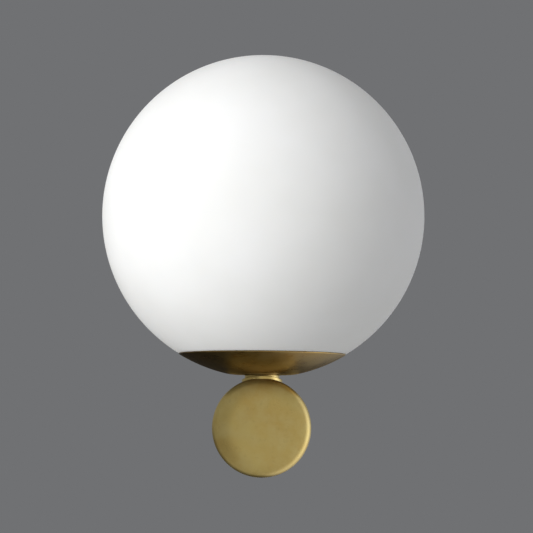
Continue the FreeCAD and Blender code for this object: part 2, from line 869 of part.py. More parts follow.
def mains_wire(side, way):
    """Live or neutral wire, from its way in the block through arm and neck to the lampholder."""
    in_block = block_top - 4.0
    above_block = block_top + 5.0
    near_wall = rear_nut - 7.0
    below_core = core_base - 1.5
    in_core = core_base + 4.0
    x = side * wire_spread
    fork = holder_base + holder_collar_h + 1.5
    return bent_wire([(way, -barrel_depth, in_block), (way, -barrel_depth, above_block),
                      (x, -near_wall, 0), (x, -stem_depth, 0), (x, -stem_depth, fork),
                      (side * core_way_x, -stem_depth, below_core),
                      (side * core_way_x, -stem_depth, in_core)])


def earth_wire():
    """Earth wire, looped from the block's left way round to the ring tag."""
    left = -24.0
    depth = backing_face - 2.0
    return bent_wire([(-block_pitch, -barrel_depth, block_top - 4.0),
                      (-block_pitch, -barrel_depth, block_top + 3.5),
                      (earth_tag_left, -barrel_depth, block_top + 8.0),
                      (left, -depth, 4.0), (left, -depth, earth_height),
                      (earth_tag_left + 2.0, -depth, earth_height)])


PARTS["wall_plate"] = wall_plate()
PARTS["cable_bush"] = cable_bush()
PARTS["canopy"] = canopy()
PARTS["canopy_screws"] = canopy_screws()
PARTS["canopy_backing"] = canopy_backing()
PARTS["terminal_block"] = terminal_block()
PARTS["terminal_barrels"] = terminal_barrels()
PARTS["terminal_screws"] = terminal_screws()
PARTS["earth_screw"] = earth_screw()
PARTS["earth_tag"] = earth_tag()
PARTS["arm_tube"] = arm_tube()
PARTS["arm_rod"] = arm_rod()
PARTS["arm_bushes"] = arm_bushes()
PARTS["arm_nuts"] = arm_nuts()
PARTS["drum_washer"] = drum_washer()
PARTS["drum_body"] = drum_body()
PARTS["drum_back_plate"] = drum_back_plate()
PARTS["drum_back_screws"] = drum_back_screws()
PARTS["neck_collar"] = neck_collar()
PARTS["neck_rod"] = neck_rod()
PARTS["neck_saddle"] = neck_saddle()
PARTS["neck_nuts"] = neck_nuts()
PARTS["dish"] = dish()
PARTS["globe_carrier"] = globe_carrier()
PARTS["globe_gasket"] = globe_gasket()
PARTS["globe_clips"] = globe_clips()
PARTS["clip_rivets"] = clip_rivets()
PARTS["stem_washer"] = stem_washer()
PARTS["globe"] = globe()
PARTS["holder_cup"] = holder_cup()
PARTS["holder_skirt"] = holder_skirt()
PARTS["holder_core"] = holder_core()
PARTS["holder_thread"] = holder_thread()
PARTS["holder_contact"] = holder_contact()
PARTS["bulb_cap"] = bulb_cap()
PARTS["bulb_insulator"] = bulb_insulator()
PARTS["bulb_tip"] = bulb_tip()
PARTS["bulb_housing"] = bulb_housing()
PARTS["bulb_board"] = bulb_board()
PARTS["bulb_dome"] = bulb_dome()
PARTS["wire_live"] = mains_wire(-1, 0)
PARTS["wire_neutral"] = mains_wire(1, block_pitch)
PARTS["wire_earth"] = earth_wire()

os.makedirs("parts", exist_ok=True)
for node, shape in PARTS.items():
    shape.exportStep("parts/" + node + ".step")
    print(node, len(shape.Solids), shape.isValid(), round(shape.Volume, 1))
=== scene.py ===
import bmesh
import bpy
import math
from mathutils import Matrix, Vector


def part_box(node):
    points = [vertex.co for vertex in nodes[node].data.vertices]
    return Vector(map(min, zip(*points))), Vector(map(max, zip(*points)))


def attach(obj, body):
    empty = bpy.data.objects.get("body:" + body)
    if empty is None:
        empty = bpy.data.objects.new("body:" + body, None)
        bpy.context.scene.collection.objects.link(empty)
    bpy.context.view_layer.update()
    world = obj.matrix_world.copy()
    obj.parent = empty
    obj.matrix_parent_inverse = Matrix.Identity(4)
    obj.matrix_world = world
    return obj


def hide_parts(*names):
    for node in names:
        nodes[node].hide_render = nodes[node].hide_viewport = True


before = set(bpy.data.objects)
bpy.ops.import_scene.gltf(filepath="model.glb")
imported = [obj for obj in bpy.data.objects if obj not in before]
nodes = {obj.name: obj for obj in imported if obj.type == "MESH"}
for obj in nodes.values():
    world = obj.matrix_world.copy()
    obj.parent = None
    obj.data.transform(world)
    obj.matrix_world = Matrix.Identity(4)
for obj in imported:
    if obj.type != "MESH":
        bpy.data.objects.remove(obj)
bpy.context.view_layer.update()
MM = 0.001


def span(node):
    """Lowest and highest corner of a CAD node at rest, in millimetres."""
    low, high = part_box(node)
    return low / MM, high / MM


# ---- sizes in millimetres and degrees, read from the frame or as the CAD model has them -----

GLOBE_LOW, GLOBE_HIGH = span("globe")
DRUM_LOW, DRUM_HIGH = span("drum_body")
CANOPY_LOW, CANOPY_HIGH = span("canopy")
DISH_BOTTOM = span("dish")[0].z
COLLAR_TOP = span("neck_collar")[1].z

STEM_Y = (GLOBE_LOW.y + GLOBE_HIGH.y) / 2
GLASS_EDGE_DROP = 106.8
GLOBE_R = GLOBE_HIGH.z - GLOBE_LOW.z - GLASS_EDGE_DROP
GLOBE_Z = GLOBE_HIGH.z - GLOBE_R
GLASS_T = 3.0
GLASS_EDGE = GLOBE_LOW.z
GROUND_EDGE = 0.35
GROUND_ANGLE = 0.16

DISH_R = GLOBE_R + 0.5
DISH_T = 1.0
DISH_BLEND = 40.0
DISH_RIM_DROP = 107.4

ROD_R = 5.0
ROD_BORE_R = 3.5
ROD_HOLE_R = 5.1
THIRDS = (30.0, 150.0, 270.0)

DRUM_R = (DRUM_HIGH.z - DRUM_LOW.z) / 2
DRUM_BACK = -DRUM_HIGH.y
DRUM_FRONT = -DRUM_LOW.y
DRUM_CROWN_R = 230.0
DRUM_CROWN_REACH = 22.0
DRUM_SHOULDER_R = 45.0
DRUM_ROUND = 7.0
DRUM_BACK_ROUND = 1.2
DRUM_WALL = 3.0
DRUM_FACE_T = 5.0
DRUM_CORNER = 6.0
PILLAR_R = 4.7
PILLAR_BORE_R = 1.5
PILLAR_CIRCLE = 30.5
PILLAR_INSET = 3.0

NECK_R = 13.5
NECK_ROUND = 0.5
FLANGE_R = 15.7
FLANGE_T = 2.2

CANOPY_WALL = 1.5
CANOPY_ROUND = 4.5
BOSS_R = 4.0
BOSS_BORE_R = 2.02
BOSS_START = 35.3
BOSS_INSET = 0.7
BOSS_FROM_WALL = 7.0
ARM_WALL = 1.5

HOLDER_R = span("holder_cup")[1].x
HOLDER_WALL = 2.0
RIB = 0.5
DOME_T = 1.2

OVERLAP = 0.1
SHARP = 35.0

# Distances in metres at which points of a mesh become one.
MERGE = 1e-7
SLIVER = 1e-8

ON_STEM = Matrix.Translation((0.0, STEM_Y, 0.0))
FROM_WALL = Matrix.Rotation(math.radians(90), 4, "X")


# ---- mesh code, in millimetres --------------------------------------------------------------

def arc(centre, radius, start, end, steps):
    """Points of an arc in a profile, for angles in degrees from outward to upward."""
    points = []
    for i in range(steps + 1):
        angle = math.radians(start + (end - start) * i / steps)
        points.append((centre[0] + radius * math.cos(angle), centre[1] + radius * math.sin(angle)))
    return points


def toward(centre, radius, angle):
    """The point of an arc at one angle."""
    return arc(centre, radius, angle, angle, steps=1)[0]


def rounded(*corners, steps=5):
    """A closed profile from corners of radius, height and, where the corner is rounded, its round."""
    points = []
    for i, corner in enumerate(corners):
        here = Vector(corner[:2])
        if len(corner) == 2:
            points.append(tuple(here))
            continue
        before = (Vector(corners[i - 1][:2]) - here).normalized()
        after = (Vector(corners[(i + 1) % len(corners)][:2]) - here).normalized()
        half = before.angle(after) / 2
        centre = here + (before + after).normalized() * (corner[2] / math.sin(half))
        first = here + before * (corner[2] / math.tan(half)) - centre
        last = here + after * (corner[2] / math.tan(half)) - centre
        start = math.atan2(first.y, first.x)
        turn = math.atan2(first.x * last.y - first.y * last.x, first.dot(last))
        points += arc(centre, corner[2], math.degrees(start), math.degrees(start + turn), steps)
    return points


def object_from(name, verts, faces, sharp=SHARP):
    """An object in metres from points in millimetres, smooth except along edges sharper than an angle."""
    mesh = bpy.data.meshes.new(name)
    mesh.from_pydata([Vector(v) * MM for v in verts], [], faces)
    work = bmesh.new()
    work.from_mesh(mesh)
    bmesh.ops.remove_doubles(work, verts=work.verts, dist=MERGE)
    bmesh.ops.dissolve_degenerate(work, edges=work.edges, dist=SLIVER)
    bmesh.ops.recalc_face_normals(work, faces=work.faces)
    work.to_mesh(mesh)
    work.free()
    mesh.shade_smooth()
    mesh.set_sharp_from_angle(angle=math.radians(sharp))
    piece = bpy.data.objects.new(name, mesh)
    bpy.context.scene.collection.objects.link(piece)
    return piece


def swept(name, rings, place, sharp=SHARP):
    """A closed skin through rings of points, which joins the last ring to the first."""
    count = len(rings[0])
    verts = [place @ Vector(point) for ring in rings for point in ring]
    faces = []
    for i in range(len(rings)):
        j = (i + 1) % len(rings)
        for k in range(count):
            m = (k + 1) % count
            faces.append((i * count + k, j * count + k, j * count + m, i * count + m))
    return object_from(name, verts, faces, sharp)


def lathe(name, profile, segments=192, place=ON_STEM, sharp=SHARP, relief=None):
    """A closed profile of (radius, height) turned round Z and placed.

    Its points move outward by relief(index, angle in turns, z), where one is given."""
    rings = []
    for i in range(segments):
        turn = i / segments
        angle = 2 * math.pi * turn
        ring = []
        for k, (r, z) in enumerate(profile):
            out = r + relief(k, turn, z) if relief else r
            ring.append((out * math.cos(angle), out * math.sin(angle), z))
        rings.append(ring)
    return swept(name, rings, place, sharp)


def join(name, pieces):
    """Joins meshes into the first one, which takes the name."""
    work = bmesh.new()
    for piece in pieces:
        work.from_mesh(piece.data)
    first = pieces[0]
    work.to_mesh(first.data)
    work.free()
    first.name = name
    first.data.name = name
    for piece in pieces[1:]:
        bpy.data.objects.remove(piece)
    return first


# ---- node code ------------------------------------------------------------------------------

def linear(red, green, blue):
    """A colour given in 0 to 255 display values, as linear light by the sRGB curve."""
    def one(value):
        value /= 255.0
        return value / 12.92 if value <= 0.04045 else ((value + 0.055) / 1.055) ** 2.4
    return (one(red), one(green), one(blue), 1.0)


def toned(colour, tone):
    """A colour with its red, green and blue multiplied by those of a tone."""
    return (colour[0] * tone[0], colour[1] * tone[1], colour[2] * tone[2], 1.0)


class Nodes:
    """Short calls for making and linking the nodes of one tree."""

    def __init__(self, tree):
        self.tree = tree

    def give(self, socket, value):
        """Links a socket to an input, or sets the input to a value."""
        if isinstance(value, bpy.types.NodeSocket):
            self.tree.links.new(value, socket)
        else:
            socket.default_value = value

    def add(self, kind, inputs=None, **settings):
        """A new node with its inputs linked or set."""
        node = self.tree.nodes.new(kind)
        for key, value in settings.items():
            setattr(node, key, value)
        for socket, value in (inputs or {}).items():
            self.give(node.inputs[socket], value)
        return node

    def math(self, operation, a, b=0.0):
        return self.add("ShaderNodeMath", {0: a, 1: b}, operation=operation).outputs[0]

    def spread(self, value, low, high, start=0.3, end=0.7, kind="LINEAR"):
        """Carries value from the range start to end over to low to high."""
        node = self.add("ShaderNodeMapRange", {
            "Value": value, "From Min": start, "From Max": end, "To Min": low, "To Max": high},
            interpolation_type=kind)
        return node.outputs["Result"]

    def ease(self, value, low, high, start, end):
        """Like spread, with soft ends."""
        return self.spread(value, low, high, start, end, kind="SMOOTHSTEP")

    def split(self, vector):
        parts = self.add("ShaderNodeSeparateXYZ", {"Vector": vector}).outputs
        return parts[0], parts[1], parts[2]

    def square(self, value):
        return self.math("MULTIPLY", value, value)

    def length(self, a, b):
        return self.math("SQRT", self.math("ADD", self.square(a), self.square(b)))


class Finish(Nodes):
    """One node material, whose textures are laid out in the light's own metres at rest."""

    def __init__(self, name, **fixed):
        self.material = bpy.data.materials.new(name)
        self.material.use_nodes = True
        super().__init__(self.material.node_tree)
        self.shader = self.tree.nodes["Principled BSDF"]
        self.place = self.add("ShaderNodeTexCoord").outputs["Object"]
        for socket, value in fixed.items():
            self.set(socket.replace("_", " "), value)

    def set(self, socket, value):
        self.give(self.shader.inputs[socket], value)

    def noise(self, size, detail=3.0, roughness=0.5, where=None, distortion=0.0):
        """Noise from 0 to 1, with features of about that size in metres."""
        node = self.add("ShaderNodeTexNoise", {
            "Vector": where or self.place, "Scale": 1.0 / size, "Detail": detail,
            "Roughness": roughness, "Distortion": distortion})
        return node.outputs["Fac"]

    def mix(self, factor, a, b):
        """Mixes two colours, by the colour sockets of a node that has sockets for numbers too."""
        node = self.add("ShaderNodeMix", data_type="RGBA")
        for index, value in ((0, factor), (6, a), (7, b)):
            self.give(node.inputs[index], value)
        return node.outputs[2]

    def stretched(self, x, y, z):
        node = self.add("ShaderNodeMapping", {"Vector": self.place, "Scale": (x, y, z)})
        return node.outputs["Vector"]

    def parts(self, centre=(0.0, 0.0, 0.0)):
        """x, y and z counted from a centre."""
        moved = self.add("ShaderNodeVectorMath", {0: self.place, 1: centre}, operation="SUBTRACT")
        return self.split(moved.outputs[0])

    def vector(self, x, y, z):
        return self.add("ShaderNodeCombineXYZ", {"X": x, "Y": y, "Z": z}).outputs[0]

    def bump(self, height, depth, strength, normal=None):
        """Raises the surface by up to depth, in metres."""
        inputs = {"Height": height, "Distance": depth, "Strength": strength}
        if normal is not None:
            inputs["Normal"] = normal
        return self.add("ShaderNodeBump", inputs).outputs["Normal"]


# ---- materials ------------------------------------------------------------------------------

STEM = Vector((0.0, STEM_Y * MM, 0.0))
BRASS_MEAN = linear(201, 179, 109)
BRASS_WARM = linear(196, 168, 97)
BRASS_PALE = linear(207, 189, 126)
BRASS_DULL = linear(165, 141, 82)
PLAIN_TONE = (1.0, 1.0, 1.0)
# Painted shade: darkens and reddens the dish's brass all over, standing in for the dark surroundings it
# mirrors.
PAINTED_SHADE_TONE = (0.62, 0.55, 0.52)
# Painted highlight: lightens and whitens the neck's brass above its real colour so that its reflections come
# out brighter.
PAINTED_HIGHLIGHT_TONE = (1.2, 1.22, 1.3)
TURNED_LINE = 1.0 / 2600.0
STRIPE_SCALE = 95.0


def brass(name, axis, rough, tone=PLAIN_TONE, spotted=0.35, metallic=1.0):
    """Satin lacquered brass, turned on a lathe round the arm (axis Y) or round the stem (axis Z)."""
    f = Finish(name, Metallic=metallic)
    mean, warm, pale, dull = [toned(c, tone) for c in (BRASS_MEAN, BRASS_WARM, BRASS_PALE, BRASS_DULL)]
    x, y, z = f.parts((0.0, 0.0, 0.0) if axis == "Y" else STEM)
    if axis == "Y":
        radius, along = f.length(x, z), y
    else:
        radius, along = f.length(x, y), z
    cloud = f.noise(size=0.030, detail=2.0, roughness=0.55, distortion=0.4)
    patch = f.noise(size=0.011, detail=3.0, roughness=0.6)
    spots = f.noise(size=0.0035, detail=4.0, roughness=0.65)
    turned = f.noise(size=TURNED_LINE, detail=2.0, roughness=0.6, where=f.vector(radius, 0.0, along))
    colour = f.mix(f.spread(cloud, low=0.0, high=1.0, start=0.35, end=0.65), warm, mean)
    colour = f.mix(f.spread(patch, low=0.0, high=0.55, start=0.4, end=0.7), colour, pale)
    colour = f.mix(f.spread(spots, low=0.0, high=spotted, start=0.55, end=0.8), colour, dull)
    f.set("Base Color", colour)
    mottled = f.math("ADD", f.spread(patch, low=-0.05, high=0.06), f.spread(turned, low=-0.03, high=0.04))
    f.set("Roughness", f.math("ADD", mottled, rough))
    fine = f.bump(turned, depth=0.000004, strength=0.6)
    f.set("Normal", f.bump(cloud, depth=0.00006, strength=0.5, normal=fine))
    return f.material


def opal_glass():
    """White opal glass with a satin etched outside."""
    f = Finish("opal_glass", IOR=1.5, Subsurface_Weight=0.25, Subsurface_Scale=1.0)
    f.set("Subsurface Radius", (0.006, 0.0055, 0.005))
    f.set("Specular IOR Level", 0.25)
    cloud = f.noise(size=0.060, detail=2.0)
    speck = f.noise(size=0.0016, roughness=0.6)
    clouded = f.spread(cloud, low=0.0, high=1.0)
    f.set("Base Color", f.mix(clouded, linear(243, 243, 241), linear(248, 248, 247)))
    satin = f.spread(cloud, low=0.48, high=0.54)
    f.set("Roughness", f.math("ADD", satin, f.spread(speck, low=-0.02, high=0.02)))
    swell = f.bump(cloud, depth=0.0003, strength=0.4)
    f.set("Normal", f.bump(speck, depth=0.00001, strength=0.4, normal=swell))
    return f.material


def plated(name, base, tint, rough, size=0.004):
    """Plated or bright metal with spangle of a given size and fine scratches."""
    f = Finish(name, Metallic=1.0)
    spangle = f.noise(size, roughness=0.6)
    haze = f.noise(size * 5, detail=2.0)
    scratch = f.noise(size=0.0012, detail=2.0, where=f.stretched(1.0, 6.0, 1.0))
    f.set("Base Color", f.mix(f.spread(haze, low=0.0, high=1.0), base, tint))
    uneven = f.spread(spangle, low=rough - 0.06, high=rough + 0.08)
    f.set("Roughness", f.math("ADD", uneven, f.spread(scratch, low=-0.02, high=0.03)))
    f.set("Normal", f.bump(scratch, depth=0.00001, strength=0.5))
    return f.material


def moulded(name, base, tint, rough, coat=0.0, grain=0.0006, **fixed):
    """Moulded plastic, rubber, paint or ceramic: a fine grain and a faint unevenness."""
    f = Finish(name, Coat_Weight=coat, **fixed)
    grains = f.noise(grain, detail=2.0)
    haze = f.noise(size=0.012, detail=2.0)
    f.set("Base Color", f.mix(f.spread(haze, low=0.0, high=1.0), base, tint))
    f.set("Roughness", f.spread(haze, low=rough - 0.04, high=rough + 0.05))
    f.set("Normal", f.bump(grains, depth=0.00002, strength=0.5))
    return f.material


def striped(name, base, stripe):
    """Insulation of one colour with slanting stripes of another."""
    f = Finish(name)
    wave = f.add("ShaderNodeTexWave", {"Vector": f.place, "Scale": STRIPE_SCALE, "Distortion": 0.6},
                 bands_direction="DIAGONAL").outputs["Fac"]
    f.set("Base Color", f.mix(f.spread(wave, low=0.0, high=1.0, start=0.45, end=0.55), base, stripe))
    f.set("Roughness", f.spread(f.noise(size=0.002), low=0.38, high=0.5))
    return f.material


MATERIALS = {
    "drum": brass("brass_drum", "Y", rough=0.34, metallic=0.86),
    "arm": brass("brass_arm", "Y", rough=0.30),
    # The dish's brass carries painted shade: its colour is darkened and reddened all over by the tone.
    "dish": brass("brass_dish", "Z", rough=0.30, tone=PAINTED_SHADE_TONE, spotted=0.12),
    # The neck's brass carries a painted highlight: its colour is lightened and whitened by the tone.
    "neck": brass("brass_neck", "Z", rough=0.24, tone=PAINTED_HIGHLIGHT_TONE, spotted=0.15, metallic=0.9),
    "turned": brass("brass_screws", "Y", rough=0.28),
    "glass": opal_glass(),
    "zinc": plated("zinc_steel", linear(190, 192, 194), linear(176, 178, 170), rough=0.38),
    "spring": plated("spring_steel", linear(205, 205, 208), linear(190, 190, 196), rough=0.24, size=0.002),
    "nickel": plated("nickel_plate", linear(214, 210, 202), linear(196, 190, 178), rough=0.22, size=0.003),
    "tin": plated("tinned_copper", linear(205, 203, 196), linear(188, 184, 172), rough=0.35, size=0.001),
    "contact": plated("contact_brass", linear(205, 172, 105), linear(188, 150, 84), rough=0.28, size=0.002),
    "white_steel": moulded("white_powder_coat", linear(232, 231, 226), linear(224, 223, 217), rough=0.42,
                           grain=0.0014),
    "silicone": moulded("silicone", linear(214, 213, 207), linear(200, 199, 192), rough=0.5),
    "nylon": moulded("white_nylon", linear(236, 235, 229), linear(226, 224, 216), rough=0.45),
    "phenolic": moulded("black_phenolic", linear(28, 27, 27), linear(40, 38, 37), rough=0.3, coat=0.2),
    "ceramic": moulded("steatite", linear(232, 229, 219), linear(220, 215, 203), rough=0.6, grain=0.001),
    "vitrite": moulded("black_vitrite", linear(20, 20, 24), linear(34, 33, 38), rough=0.15, coat=0.4),
    "dome": moulded("frosted_dome", linear(243, 243, 240), linear(236, 236, 232), rough=0.4,
                    Subsurface_Weight=0.2, Subsurface_Scale=0.004),
    "board": moulded("white_board", linear(235, 236, 236), linear(226, 227, 226), rough=0.4),
    "live": moulded("brown_wire", linear(96, 58, 34), linear(84, 50, 30), rough=0.42),
    "neutral": moulded("blue_wire", linear(40, 84, 158), linear(34, 74, 142), rough=0.42),
    "earth": striped("green_yellow_wire", linear(52, 128, 54), linear(226, 204, 52)),
}

NODE_FINISH = {
    "wall_plate": "zinc", "cable_bush": "nylon", "canopy": "drum", "canopy_screws": "turned",
    "canopy_backing": "zinc", "terminal_block": "nylon", "terminal_barrels": "contact",
    "terminal_screws": "zinc", "earth_screw": "zinc", "earth_tag": "tin", "arm_tube": "arm",
    "arm_rod": "zinc", "arm_bushes": "nylon", "arm_nuts": "zinc", "drum_washer": "zinc",
    "drum_body": "drum", "drum_back_plate": "drum", "drum_back_screws": "turned",
    "neck_collar": "neck", "neck_rod": "zinc", "neck_saddle": "zinc", "neck_nuts": "zinc",
    "dish": "dish", "globe_carrier": "white_steel", "globe_gasket": "silicone",
    "globe_clips": "spring", "clip_rivets": "spring", "stem_washer": "zinc", "globe": "glass",
    "holder_cup": "phenolic", "holder_skirt": "phenolic", "holder_core": "ceramic",
    "holder_thread": "contact", "holder_contact": "contact", "bulb_cap": "nickel",
    "bulb_insulator": "vitrite", "bulb_tip": "tin", "bulb_housing": "nylon",
    "bulb_board": "board", "bulb_dome": "dome", "wire_live": "live", "wire_neutral": "neutral",
    "wire_earth": "earth",
}


def finish_with(piece, finish):
    piece.data.materials.clear()
    piece.data.materials.append(MATERIALS[finish])


for node_name, finish in NODE_FINISH.items():
    finish_with(nodes[node_name], finish)


def stand_for(piece, body, node):
    """Gives a modelled piece its body and the finish of the CAD node that it stands for, and hides that
    node.
    """
    finish_with(piece, NODE_FINISH[node])
    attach(piece, body)
    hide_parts(node)


# ---- globe and dish -------------------------------------------------------------------------

def edge_angle(z, radius, middle_z):
    """The angle, in degrees, at which a sphere's profile has a height."""
    return math.degrees(math.asin((z - middle_z) / radius))


def globe_shell():
    """The opal glass with its ground lower edge."""
    inner_r = GLOBE_R - GLASS_T
    foot = edge_angle(GLASS_EDGE, GLOBE_R, GLOBE_Z)
    inner_foot = edge_angle(GLASS_EDGE, inner_r, GLOBE_Z)
    middle = (0.0, GLOBE_Z)
    profile = arc(middle, GLOBE_R, foot + GROUND_ANGLE, 90.0, steps=128)
    profile += arc(middle, inner_r, 90.0, inner_foot + GROUND_ANGLE, steps=96)
    profile += [(inner_r * math.cos(math.radians(inner_foot)) + GROUND_EDGE, GLASS_EDGE),
                (GLOBE_R * math.cos(math.radians(foot)) - GROUND_EDGE, GLASS_EDGE)]
    stand_for(lathe("globe_shell", profile, segments=256), "globe", "globe")


def dish_shell():
    """The spun dish: flat seat, soft bend, then the globe's own sphere up to a rounded rim."""
    bend_z = DISH_BOTTOM + DISH_BLEND
    bend = (math.sqrt((DISH_R - DISH_BLEND) ** 2 - (GLOBE_Z - bend_z) ** 2), bend_z)
    bend_end = math.degrees(math.atan2(bend_z - GLOBE_Z, bend[0]))
    rim = math.degrees(math.asin(-DISH_RIM_DROP / GLOBE_R))
    middle = (0.0, GLOBE_Z)
    lip = toward(middle, DISH_R - DISH_T / 2, rim)
    profile = [(ROD_HOLE_R, DISH_BOTTOM)]
    profile += arc(bend, DISH_BLEND, -90.0, bend_end, steps=24)
    profile += arc(middle, DISH_R, bend_end, rim, steps=48)[1:-1]
    profile += arc(lip, DISH_T / 2, rim, rim + 180.0, steps=10)
    profile += arc(middle, DISH_R - DISH_T, rim, bend_end, steps=48)[1:-1]
    profile += arc(bend, DISH_BLEND - DISH_T, bend_end, -90.0, steps=24)
    profile += [(ROD_HOLE_R, DISH_BOTTOM + DISH_T)]
    stand_for(lathe("dish_shell", profile, segments=256), "fixture", "dish")


# ---- drum and neck --------------------------------------------------------------------------

CROWN_SINE = DRUM_CROWN_REACH / DRUM_CROWN_R
EDGE_SINE = DRUM_R - DRUM_ROUND - DRUM_CROWN_REACH + DRUM_SHOULDER_R * CROWN_SINE
EDGE_SINE /= DRUM_SHOULDER_R - DRUM_ROUND
CROWN_END = 90.0 - math.degrees(math.asin(CROWN_SINE))
EDGE_START = 90.0 - math.degrees(math.asin(EDGE_SINE))
DRUM_CROWN = (0.0, DRUM_FRONT - DRUM_CROWN_R)
DRUM_SHOULDER = toward(DRUM_CROWN, DRUM_CROWN_R - DRUM_SHOULDER_R, CROWN_END)
DRUM_EDGE = toward(DRUM_SHOULDER, DRUM_SHOULDER_R - DRUM_ROUND, EDGE_START)


def drum_shell():
    """The turned drum: crowned face, soft shoulder, rounded edge, open back and three pillars inside."""
    inner = DRUM_R - DRUM_WALL
    face = DRUM_FRONT - DRUM_FACE_T
    back_edge = (DRUM_R - DRUM_BACK_ROUND, DRUM_BACK + DRUM_BACK_ROUND)
    profile = arc(DRUM_CROWN, DRUM_CROWN_R, 90.0, CROWN_END, steps=24)
    profile += arc(DRUM_SHOULDER, DRUM_SHOULDER_R, CROWN_END, EDGE_START, steps=20)[1:]
    profile += arc(DRUM_EDGE, DRUM_ROUND, EDGE_START, 0.0, steps=32)[1:]
    profile += arc(back_edge, DRUM_BACK_ROUND, 0.0, -90.0, steps=8)
    profile += [(inner, DRUM_BACK)]
    profile += arc((inner - DRUM_CORNER, face - DRUM_CORNER), DRUM_CORNER, 0.0, 90.0, steps=8)
    profile += [(0.0, face)]
    pieces = [lathe("drum_shell", profile, segments=224, place=FROM_WALL)]
    foot, top = DRUM_BACK + PILLAR_INSET, face + OVERLAP
    pillar = [(PILLAR_BORE_R, foot), (PILLAR_R, foot), (PILLAR_R, top), (PILLAR_BORE_R, top)]
    for angle in THIRDS:
        turn = Matrix.Rotation(math.radians(angle), 4, "Z") @ Matrix.Translation((PILLAR_CIRCLE, 0, 0))
        pieces.append(lathe("pillar", pillar, segments=32, place=FROM_WALL @ turn))
    stand_for(join("drum_shell", pieces), "fixture", "drum_body")


def drum_height(x, y, proud=0.0):
    """Height over a point of the drum's top surface, or of one that lies proud of it."""
    past = max(0.0, -y - DRUM_EDGE[1])
    r = DRUM_EDGE[0] + math.sqrt(max(0.0, (DRUM_ROUND + proud) ** 2 - past ** 2))
    return math.sqrt(max(0.0, r * r - x * x))


def neck_shell():
    """The collar: a short tube on a flange of one thickness that follows the drum's curve."""
    top_steps, foot_steps, segments = 4, 8, 224
    edge_r = FLANGE_R - NECK_ROUND
    rings = []
    for i in range(segments):
        angle = 2 * math.pi * i / segments
        across, along = math.cos(angle), math.sin(angle)

        def over(r, proud=0.0):
            return drum_height(r * across, STEM_Y + r * along, proud)

        points = [(ROD_HOLE_R, COLLAR_TOP)]
        points += arc((NECK_R - NECK_ROUND, COLLAR_TOP - NECK_ROUND), NECK_ROUND, 90.0, 0.0, steps=6)
        slope = (over(edge_r, FLANGE_T) - over(NECK_R, FLANGE_T)) / (edge_r - NECK_R)
        tilt = math.atan(slope)
        last_r = edge_r - NECK_ROUND * math.sin(tilt)
        for k in range(top_steps):
            r = NECK_R + (last_r - NECK_R) * k / top_steps
            points.append((r, over(r, FLANGE_T)))
        edge = (edge_r, over(last_r, FLANGE_T) - NECK_ROUND * math.cos(tilt))
        points += arc(edge, NECK_ROUND, 90.0 + math.degrees(tilt), 0.0, steps=6)
        for k in range(foot_steps + 1):
            r = FLANGE_R + (ROD_HOLE_R - FLANGE_R) * k / foot_steps
            points.append((r, over(r)))
        rings.append([(r * across, r * along, z) for r, z in points])
    piece = swept("neck_shell", rings, ON_STEM, sharp=50.0)
    stand_for(piece, "fixture", "neck_collar")


# ---- canopy and arm -------------------------------------------------------------------------

def canopy_shell():
    """The spun canopy with its three bosses inside."""
    r, low, high = CANOPY_HIGH.x, -CANOPY_HIGH.y, -CANOPY_LOW.y
    inner, under, edge = r - CANOPY_WALL, high - CANOPY_WALL, 0.3
    shell = rounded((inner, low), (r, low, edge), (r, high, CANOPY_ROUND), (ROD_HOLE_R, high),
                    (ROD_HOLE_R, under), (inner, under, CANOPY_ROUND - CANOPY_WALL), steps=14)
    pieces = [lathe("canopy_shell", shell, segments=224, place=FROM_WALL)]
    end = r - BOSS_INSET
    boss = [(BOSS_BORE_R, BOSS_START), (BOSS_R, BOSS_START), (BOSS_R, end), (BOSS_BORE_R, end)]
    lay = Matrix.Translation((0, 0, BOSS_FROM_WALL)) @ Matrix.Rotation(math.radians(90), 4, "Y")
    for angle in THIRDS:
        turn = Matrix.Rotation(math.radians(angle), 4, "Z")
        pieces.append(lathe("boss", boss, segments=32, place=FROM_WALL @ turn @ lay))
    stand_for(join("canopy_shell", pieces), "fixture", "canopy")


def arm_sleeve():
    """The brass sleeve round the arm's rod."""
    low, high = span("arm_tube")
    outer, inner, edge = high.x, high.x - ARM_WALL, 0.25
    profile = rounded((inner, -high.y, edge), (outer, -high.y, edge), (outer, -low.y, edge),
                      (inner, -low.y, edge), steps=3)
    piece = lathe("arm_sleeve", profile, segments=160, place=FROM_WALL)
    stand_for(piece, "fixture", "arm_tube")


def threaded_rod(node, place, low, high):
    """A hollow rod with a fine 1 mm thread and chamfered ends."""
    pitch, depth, chamfer, rows_a_turn = 1.0, 0.55, 0.6, 6
    rows = int((high - low) / pitch * rows_a_turn)
    bore = [(ROD_BORE_R, high), (ROD_BORE_R, low)]
    profile = bore + [(ROD_R, low + (high - low) * k / rows) for k in range(rows + 1)]

    def cut(k, turn, z):
        if k < len(bore):
            return 0.0
        end = max(0.0, chamfer - min(z - low, high - z))
        wave = abs(((z / pitch - turn) % 1.0) * 2 - 1)
        return -max(depth * wave, end)

    piece = lathe(node + "_thread", profile, segments=40, place=place, sharp=60.0, relief=cut)
    stand_for(piece, "fixture", node)


# ---- lampholder -----------------------------------------------------------------------------

